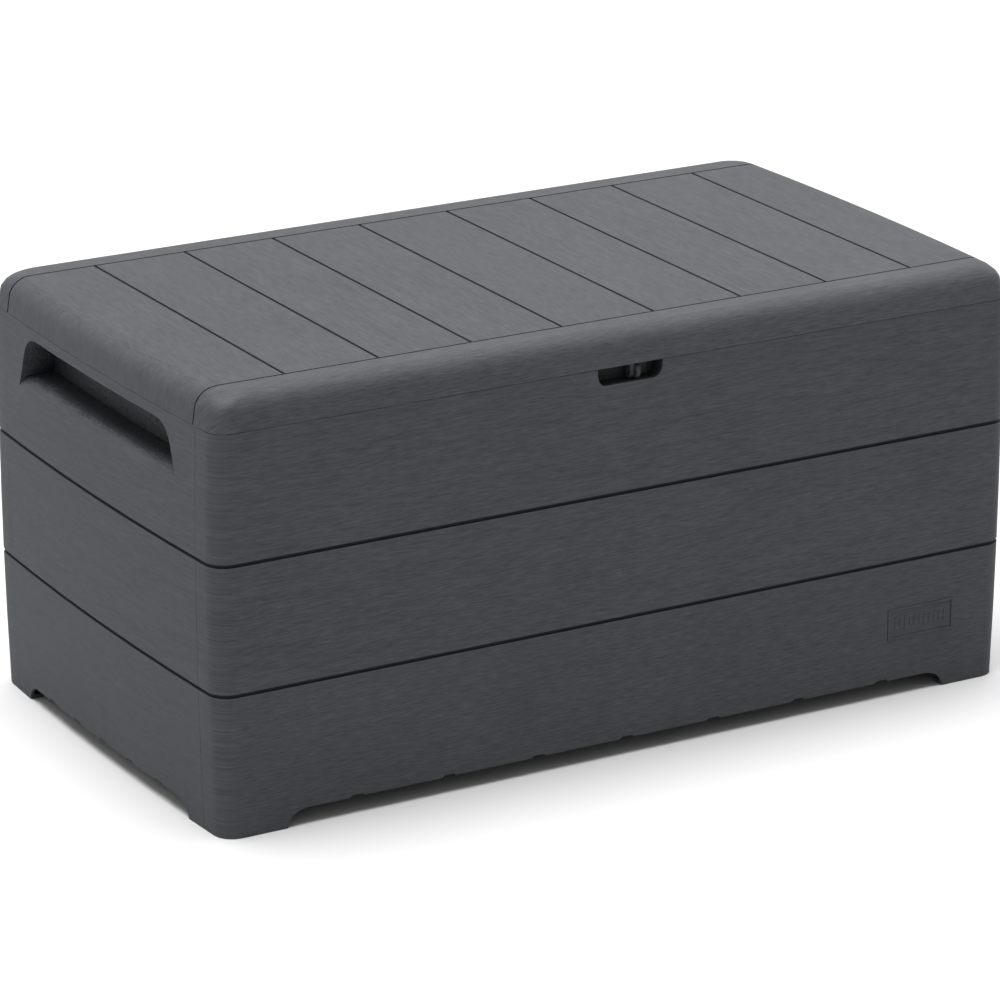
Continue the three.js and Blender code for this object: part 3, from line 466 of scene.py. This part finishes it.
def metal(name, colour, rough, metallic, peel):
    material, n, shader = new_material(name)
    place = n.add("ShaderNodeTexCoord").outputs["Object"]
    fine = n.noise(place, peel, 3.0, 0.6)
    cloudy = n.noise(place, CLOUD_SCALE, 2.0, 0.5)
    shade = n.mix(cloudy, shade_of(colour, 0.85), shade_of(colour, 1.1), "RGBA")
    n.feed(shader.inputs["Base Color"], shade)
    n.feed(shader.inputs["Roughness"], n.plus(n.times(fine, PEEL_GLOSS), rough - PEEL_GLOSS / 2))
    bump = n.add("ShaderNodeBump", {"Height": fine, "Distance": PEEL_DEPTH, "Strength": PEEL_STRENGTH})
    n.feed(shader.inputs["Normal"], bump.outputs[0])
    shader.inputs["Metallic"].default_value = metallic
    return material


zinc = metal("zinc_steel", (0.55, 0.56, 0.57), rough=0.32, metallic=1.0, peel=2500.0)
black_paint = metal("black_paint", (0.012, 0.012, 0.013), rough=0.35, metallic=0.0, peel=900.0)
print("metal materials", zinc.name, black_paint.name)


# %% [markdown]
# A moulding has no knife-sharp edges: its tool is cut with a small radius everywhere, and those radii
# catch the light. The CAD panels have the true shape but hard edges. Modelling them again would risk
# another shape, so each is copied, its loose triangles are merged into flat faces, and a Bevel modifier
# rounds what is left as an edge. The merge angle is tiny, so that the bow of a wall isn't flattened, and
# weighted normals keep the broad faces smooth right up to their soft edges.

# %% Soften the edges of a CAD moulding
FLAT = 0.05                      # degrees between two triangles that are parts of one flat face
WELD = 2e-5                      # corners nearer than this are one corner
EDGE = 30                        # degrees from which an edge is rounded
CREASE = 50                      # degrees from which the shading breaks


def merged_copy(node):
    form = bmesh.new()
    form.from_mesh(frame["nodes"][node].data)
    bmesh.ops.remove_doubles(form, verts=form.verts, dist=WELD)
    bmesh.ops.dissolve_limit(form, angle_limit=radians(FLAT), verts=form.verts, edges=form.edges)
    mesh = bpy.data.meshes.new(node)
    form.to_mesh(mesh)
    form.free()
    return mesh


def softened(node, radius):
    made = new_object(f"{node}_moulded", merged_copy(node))
    bevel = made.modifiers.new("soft edges", "BEVEL")
    bevel.width = radius
    bevel.segments = 2
    bevel.limit_method = "ANGLE"
    bevel.angle_limit = radians(EDGE)
    bevel.use_clamp_overlap = True
    made.data.shade_smooth()
    made.data.set_sharp_from_angle(angle=radians(CREASE))
    weighted = made.modifiers.new("even shading", "WEIGHTED_NORMAL")
    weighted.keep_sharp = True
    return applied(made)


print("the lid's loose corners:", len(frame["nodes"]["lid_shell"].data.vertices))


# %% [markdown]
# Four panels make the body of the box: the front and rear wrap round the corners, and the bowed ends
# slide in between them. They are seen most, so they get the wood grain and an edge radius of nearly a
# millimetre.

# %% Walls and lid
OUTER_EDGE = 0.0008
for node in ("front_panel", "rear_panel", "left_side_panel", "right_side_panel"):
    hand_over(softened(node, OUTER_EDGE), node, slot="panel_plastic", material=wall_resin)
hand_over(softened("lid_shell", OUTER_EDGE), "lid_shell", slot="lid_plastic", material=lid_resin)


# %% [markdown]
# The floor rests on ledges inside the walls, and the liner closes the lid from below. The two small lugs
# for a padlock stand side by side in the recess. All of these are plain mouldings with a finer edge, and
# so are the feet, eyes and brackets of the gas struts.

# %% Plain mouldings and strut ends
INNER_EDGE = 0.0006
BRACKET_EDGE = 0.0005
for node in ("floor_panel", "lid_liner", "padlock_staple", "lid_hasp"):
    hand_over(softened(node, INNER_EDGE), node, slot="inner_plastic", material=inner_resin)
for side in ("left", "right"):
    for part in ("foot", "eye", "box_bracket", "lid_bracket"):
        node = f"{side}_strut_{part}"
        hand_over(softened(node, BRACKET_EDGE), node, slot="inner_plastic", material=inner_resin)


# %% [markdown]
# Every screw is the same pan-head screw, and there are many, so one node tree makes them all instead of
# one mesh modelled by hand and copied. The tree's head is a low cone with a cross cut into it by a
# Boolean, which keeps its edges crisp at this size. The shank is a cylinder one metre long that hangs
# below the origin, so that a scale along its own line sets its length.

# %% Screw head and shank
SCREW_SIZES = {"Head Radius": 0.005, "Head Height": 0.0024, "Shank Radius": 0.0022, "Recess": 0.0014}
HEAD_SIDES = 32
SHANK_SIDES = 16
HEAD_TAPER = 0.72                # radius of the head's top against its rim
RECESS_REACH = 0.95              # length of the cross against the head's radius


def screw_head(n, given):
    head = n.add("GeometryNodeMeshCone", {
        "Vertices": HEAD_SIDES, "Radius Top": n.times(given["Head Radius"], HEAD_TAPER),
        "Radius Bottom": given["Head Radius"], "Depth": given["Head Height"]})
    size = n.vector(n.times(given["Head Radius"], RECESS_REACH), given["Recess"],
                    n.times(given["Recess"], 2.0))
    bar = n.add("GeometryNodeMeshCube", {"Size": size}).outputs["Mesh"]
    top = n.vector(0, 0, given["Head Height"])
    lifted = n.add("GeometryNodeTransform", {"Geometry": bar, "Translation": top}).outputs[0]
    crossed = n.add("GeometryNodeTransform", {"Geometry": lifted, "Rotation": (0, 0, pi / 2)}).outputs[0]
    cut = n.add("GeometryNodeMeshBoolean", {"Mesh 1": head.outputs["Mesh"]}, operation="DIFFERENCE")
    n.feed(cut.inputs["Mesh 2"], lifted)
    n.feed(cut.inputs["Mesh 2"], crossed)
    return cut.outputs[0]


def screw_shank(n, given):
    shank = n.add("GeometryNodeMeshCylinder", {
        "Vertices": SHANK_SIDES, "Radius": given["Shank Radius"], "Depth": 1.0})
    hung = {"Geometry": shank.outputs["Mesh"], "Translation": (0, 0, -0.5)}
    return n.add("GeometryNodeTransform", hung).outputs[0]


print("screw heads are", 2000 * SCREW_SIZES["Head Radius"], "mm across")


# %% [markdown]
# The tree sets one head and one shank on each point that it is given. Two attributes on the points say
# which way the head faces and how long the shank is, so a single tree serves screws in walls, brackets
# and lid. The instances are made real at the end, because only real meshes leave with the model.

# %% Screw tree
def screw_tree():
    tree = bpy.data.node_groups.new("pan_head_screws", "GeometryNodeTree")
    face = tree.interface
    face.new_socket("Geometry", in_out="INPUT", socket_type="NodeSocketGeometry")
    for name in SCREW_SIZES:
        face.new_socket(name, in_out="INPUT", socket_type="NodeSocketFloat")
    face.new_socket("Material", in_out="INPUT", socket_type="NodeSocketMaterial")
    face.new_socket("Geometry", in_out="OUTPUT", socket_type="NodeSocketGeometry")
    n = Nodes(tree)
    given = tree.nodes.new("NodeGroupInput").outputs
    read = "GeometryNodeInputNamedAttribute"
    towards = n.add(read, {"Name": "towards"}, data_type="FLOAT_VECTOR").outputs[0]
    length = n.add(read, {"Name": "length"}, data_type="FLOAT").outputs[0]
    turn = n.add("FunctionNodeAlignRotationToVector", {"Vector": towards}, axis="Z").outputs[0]
    each = {"Points": given["Geometry"], "Rotation": turn}
    heads = n.add("GeometryNodeInstanceOnPoints", {**each, "Instance": screw_head(n, given)})
    shanks = n.add("GeometryNodeInstanceOnPoints", {
        **each, "Instance": screw_shank(n, given), "Scale": n.vector(1, 1, length)})
    both = n.add("GeometryNodeJoinGeometry", {0: heads.outputs[0]})
    n.feed(both.inputs[0], shanks.outputs[0])
    real = n.add("GeometryNodeRealizeInstances", {0: both.outputs[0]})
    surface = {"Geometry": real.outputs[0], "Material": given["Material"]}
    finished = n.add("GeometryNodeSetMaterial", surface)
    n.feed(tree.nodes.new("NodeGroupOutput").inputs[0], finished.outputs[0])
    return tree


pan_head = screw_tree()
sockets = {item.name: item.identifier for item in pan_head.interface.items_tree if item.in_out == "INPUT"}
print("screw tree takes", list(sockets))


# %% [markdown]
# The CAD already says where each screw is and how long, in the box round its node. What the box can't
# say is which end is the head, and that follows from the screw's job: corner screws are driven from
# inside, bracket screws face the inside of the box, and the lid's screws face down.

# %% Screws in their places
def facing_of(node):
    """The way that a screw's head faces, as its place in the box sets it."""
    if node.startswith("corner_screw"):
        return Vector((0, 1 if "front" in node else -1, 0))
    if "box_bracket" in node:
        return Vector((1 if "left" in node else -1, 0, 0))
    return Vector((0, 0, -1))


def screw_points(name, screws):
    """One point for each screw, at the foot of its head, with its direction and its shank's length."""
    points, ways, lengths = [], [], []
    for node in screws:
        low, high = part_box(node)
        way = facing_of(node)
        span = abs((high - low).dot(way))
        points.append((low + high) / 2 + way * (span / 2 - SCREW_SIZES["Head Height"]))
        ways.extend(way)
        lengths.append(span - SCREW_SIZES["Head Height"])
    mesh = bpy.data.meshes.new(name)
    mesh.from_pydata(points, [], [])
    mesh.attributes.new("towards", "FLOAT_VECTOR", "POINT").data.foreach_set("vector", ways)
    mesh.attributes.new("length", "FLOAT", "POINT").data.foreach_set("value", lengths)
    return mesh


for body in ("box", "lid"):
    screws = [node for node, owner in node_body.items() if owner == body and "screw" in node]
    piece = new_object(f"{body}_screws", screw_points(f"{body}_screws", screws))
    modifier = piece.modifiers.new("screws", "NODES")
    modifier.node_group = pan_head
    for name, size in SCREW_SIZES.items():
        modifier[sockets[name]] = size
    modifier[sockets["Material"]] = zinc
    hand_over(applied(piece), *screws, slot="steel", material=zinc)


# %% [markdown]
# Strut cylinders, rods and hinge pins are turned parts. A stack of cylinders would leave hard steps, so
# each is an outline spun round its own line, as on a lathe. An outline is a list of pairs: the radius,
# and how far along the line. A radius of 0 closes the end with a single point.

# %% A lathe
TURNED_SIDES = 32
TURNED_CREASE = 35


def ring_of(form, radius, along):
    if radius == 0:
        return [form.verts.new((0, 0, along))]
    turns = [2 * pi * i / TURNED_SIDES for i in range(TURNED_SIDES)]
    return [form.verts.new((radius * cos(turn), radius * sin(turn), along)) for turn in turns]


def turned(name, outline, start, direction):
    """Spins the outline round the line that leaves start in the given direction."""
    form = bmesh.new()
    rings = [ring_of(form, radius, along) for radius, along in outline]
    for one, two in zip(rings, rings[1:]):
        for i in range(TURNED_SIDES):
            j = (i + 1) % TURNED_SIDES
            corners = [one[i % len(one)], one[j % len(one)], two[j % len(two)], two[i % len(two)]]
            form.faces.new(list(dict.fromkeys(corners)))
    turn = direction.to_track_quat("Z", "Y").to_matrix().to_4x4()
    form.transform(Matrix.Translation(start) @ turn)
    made = new_object(name, mesh_from(name, form))
    made.data.shade_smooth()
    made.data.set_sharp_from_angle(angle=radians(TURNED_CREASE))
    return made


print("turned parts have", TURNED_SIDES, "sides")


# %% [markdown]
# A gas strut is a black cylinder with a bright rod in it. The cylinder is a real tube with a closed
# lower end, a crimped ring near its mouth and a rolled edge, so that the rod can slide out of it as the
# lid opens. The joints of the frame give the strut's foot and its line, and the CAD pieces give where
# tube and rod begin.

# %% Gas struts
TUBE_R = 0.009
TUBE_WALL_END = 0.0240           # where the bore of the tube stops, from the foot
BORE_R = 0.0043
ROD_R = 0.004
ROD_LENGTH = 0.2600
joints = {joint["name"]: joint for joint in behaviour["joints"]}


def reach_along(node, foot, line):
    """Nearest and furthest distance of a CAD node from the foot, along the line."""
    distances = [(vertex.co - foot).dot(line) for vertex in frame["nodes"][node].data.vertices]
    return min(distances), max(distances)


def tube_outline(start, mouth):
    crimp = [(TUBE_R, mouth - 0.0165), (TUBE_R - 0.0008, mouth - 0.0155),
             (TUBE_R - 0.0008, mouth - 0.0138), (TUBE_R, mouth - 0.0128)]
    rolled = [(TUBE_R, mouth - 0.0025), (TUBE_R - 0.0006, mouth - 0.0005), (TUBE_R - 0.0020, mouth),
              (BORE_R + 0.0002, mouth), (BORE_R, mouth - 0.0005)]
    foot_end = [(0, start), (TUBE_R - 0.0012, start),
                (TUBE_R - 0.0002, start + 0.0010), (TUBE_R, start + 0.0027)]
    return foot_end + crimp + rolled + [(BORE_R, TUBE_WALL_END), (0, TUBE_WALL_END)]


def rod_outline(start):
    end = start + ROD_LENGTH
    return [(0, start), (ROD_R - 0.0005, start), (ROD_R, start + 0.0005),
            (ROD_R, end - 0.0003), (ROD_R - 0.0003, end), (0, end)]


for side in ("left", "right"):
    foot = Vector(joints[f"{side}_strut_swing"]["pos_m"])
    line = Vector(joints[f"{side}_strut_extend"]["axis"])
    tube_start, mouth = reach_along(f"{side}_strut_cylinder", foot, line)
    rod_start, _ = reach_along(f"{side}_strut_rod", foot, line)
    print(f"{side} strut: tube {tube_start:.4f} to {mouth:.4f} m, rod from {rod_start:.4f} m")
    tube = turned(f"{side}_cylinder", tube_outline(tube_start, mouth), foot, line)
    hand_over(tube, f"{side}_strut_cylinder", slot="cylinder_paint", material=black_paint)
    rod = turned(f"{side}_rod", rod_outline(rod_start), foot, line)
    hand_over(rod, f"{side}_strut_rod", slot="steel", material=zinc)


# %% [markdown]
# Three steel pins carry the lid. Each is pushed in from the left until its flat head meets the knuckle,
# and has a soft far end so that it finds the next hole.

# %% Hinge pins
PIN_R = 0.0026
PIN_HEAD = [(0, 0), (0.0032, 0), (0.0042, 0.0008), (0.0042, 0.0029), (PIN_R, 0.0032)]
for node in ("hinge_pin_left", "hinge_pin_middle", "hinge_pin_right"):
    low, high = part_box(node)
    left_end = Vector((low.x, (low.y + high.y) / 2, (low.z + high.z) / 2))
    reach = high.x - low.x
    outline = PIN_HEAD + [(PIN_R, reach - 0.001), (PIN_R - 0.0006, reach), (0, reach)]
    pin = turned(f"{node}_turned", outline, left_end, Vector((1, 0, 0)))
    hand_over(pin, node, slot="steel", material=zinc)


# %% [markdown]
# The plate on the bottom row is a thin raised frame round a sunk field. The field carries a plain row of
# upright bars, long and short in turn. It is a handful of straight blocks, so they are built from their
# corners, and one Bevel softens them all.

# %% Plate on the front
FRAME_W = 0.0028
FRAME_OUT = 0.0016               # how far the frame and the bars stand out
BAR_OUT = 0.0008
FIELD_IN = 0.0002
BARS = 11
BAR_HALF_W = 0.0018
BAR_MARGIN = 0.014               # from the end of the plate to the middle of the first bar
LONG_BAR, SHORT_BAR = 0.0095, 0.0065
PLATE_EDGE = 0.0003


def block(form, low, high):
    centre = (Vector(low) + Vector(high)) / 2
    size = Vector(high) - Vector(low)
    bmesh.ops.create_cube(form, size=1, matrix=Matrix.Translation(centre) @ Matrix.Diagonal((*size, 1)))


low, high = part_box("badge_plate")
field = low.y + FIELD_IN
rim = low.y - FRAME_OUT
form = bmesh.new()
block(form, (low.x, field, low.z), (high.x, high.y, high.z))
for x in (low.x, high.x - FRAME_W):
    block(form, (x, rim, low.z), (x + FRAME_W, field, high.z))
for z in (low.z, high.z - FRAME_W):
    block(form, (low.x + FRAME_W, rim, z), (high.x - FRAME_W, field, z + FRAME_W))
bar_pitch = (high.x - low.x - 2 * BAR_MARGIN) / (BARS - 1)
middle = (low.z + high.z) / 2
for i in range(BARS):
    x = low.x + BAR_MARGIN + i * bar_pitch
    tall = SHORT_BAR if i % 2 else LONG_BAR
    block(form, (x - BAR_HALF_W, field - BAR_OUT, middle - tall), (x + BAR_HALF_W, field, middle + tall))
plate = new_object("badge", mesh_from("badge", form))
plate.modifiers.new("soft edges", "BEVEL").width = PLATE_EDGE
hand_over(applied(plate), "badge_plate", slot="panel_plastic", material=wall_resin)


# %% [markdown]
# The box is lit by two suns. The first stands nearly overhead and is very wide, like an overcast sky
# with a bright middle, so the lid is pale and the walls are darker, with soft shadows. The second is
# weak and comes from the left, and lifts the end wall. Suns light every part of the box alike, which
# area lamps near it don't.

# %% Lamps
def sun(name, towards, strength, angle):
    data = bpy.data.lights.new(name, "SUN")
    data.energy = strength
    data.angle = radians(angle)
    lamp = new_object(name, data)
    lamp.rotation_euler = Vector(towards).to_track_quat("-Z", "Y").to_euler()
    return lamp


top_lamp = sun("top_lamp", (0.06, -0.06, -1), strength=6.0, angle=45)
left_lamp = sun("left_lamp", (0.80, 0.10, -0.75), strength=0.3, angle=40)
print("lamps at strength", [round(lamp.data.energy, 2) for lamp in (top_lamp, left_lamp)])


# %% [markdown]
# The sky has two jobs that want different strengths. As a background it has to be white, and as a light
# it has to be weak. The Light Path node tells the rays apart: the camera, and reflections in metal and
# gloss, see white, and everything else is lit by the weak sky.

# %% Sky
SKY_LIGHT = 0.42
SKY_SEEN = 1.0
world = bpy.data.worlds.new("studio")
bpy.context.scene.world = world
world.use_nodes = True
sky = Nodes(world.node_tree)
background = world.node_tree.nodes["Background"]
rays = sky.add("ShaderNodeLightPath").outputs
seen = sky.either(*(rays[f"Is {kind} Ray"] for kind in ("Camera", "Transmission", "Glossy")))
sky.feed(background.inputs["Strength"], sky.mix(seen, SKY_LIGHT, SKY_SEEN, "FLOAT"))
background.inputs["Color"].default_value = (1, 1, 1, 1)
print("sky lights at", SKY_LIGHT, "and shows at", SKY_SEEN)


# %% [markdown]
# The floor is a wide disc, so that its rim is lost in the white. It is a mid grey paint that the strong
# top lamp brings up to white, and it keeps the soft shadow under the box. A faint cloudiness stops it
# from being perfectly even.

# %% Floor
FLOOR_GREYS = (0.51, 0.52)
FLOOR_RADIUS = 30
floor_form = bmesh.new()
bmesh.ops.create_circle(floor_form, cap_ends=True, radius=FLOOR_RADIUS, segments=96)
floor = new_object("studio_floor", mesh_from("studio_floor", floor_form))
floor_paint, n, shader = new_material("white_floor")
clouds = n.noise(n.add("ShaderNodeTexCoord").outputs["Object"], 3.0)
greys = [(grey, grey, grey, 1) for grey in FLOOR_GREYS]
n.feed(shader.inputs["Base Color"], n.mix(clouds, *greys, "RGBA"))
shader.inputs["Roughness"].default_value = 0.9
floor.data.materials.append(floor_paint)
bpy.context.scene.view_settings.view_transform = "Standard"
print("floor is", 2 * FLOOR_RADIUS, "m across")


# %% [markdown]
# The camera stands well back with a long lens, to the left of the front and a little above the lid. A
# long lens keeps the far end of the box nearly as large as the near one, so the boards look nearly
# parallel.

# %% Camera
CAMERA_PLACE = (-3.3123, -5.7666, 2.5766)
LOOKS_DOWN = 19.13               # degrees below level
LOOKS_RIGHT = 29.85              # degrees from square to the front
lens_data = bpy.data.cameras.new("camera")
lens_data.sensor_width = 36
lens_data.lens = 176.43
lens_data.clip_end = 100
camera = new_object("camera", lens_data)
camera.location = CAMERA_PLACE
camera.rotation_euler = (radians(90 - LOOKS_DOWN), 0, radians(-LOOKS_RIGHT))
bpy.context.scene.camera = camera
print("camera at", CAMERA_PLACE, "with a", round(lens_data.lens), "mm lens")
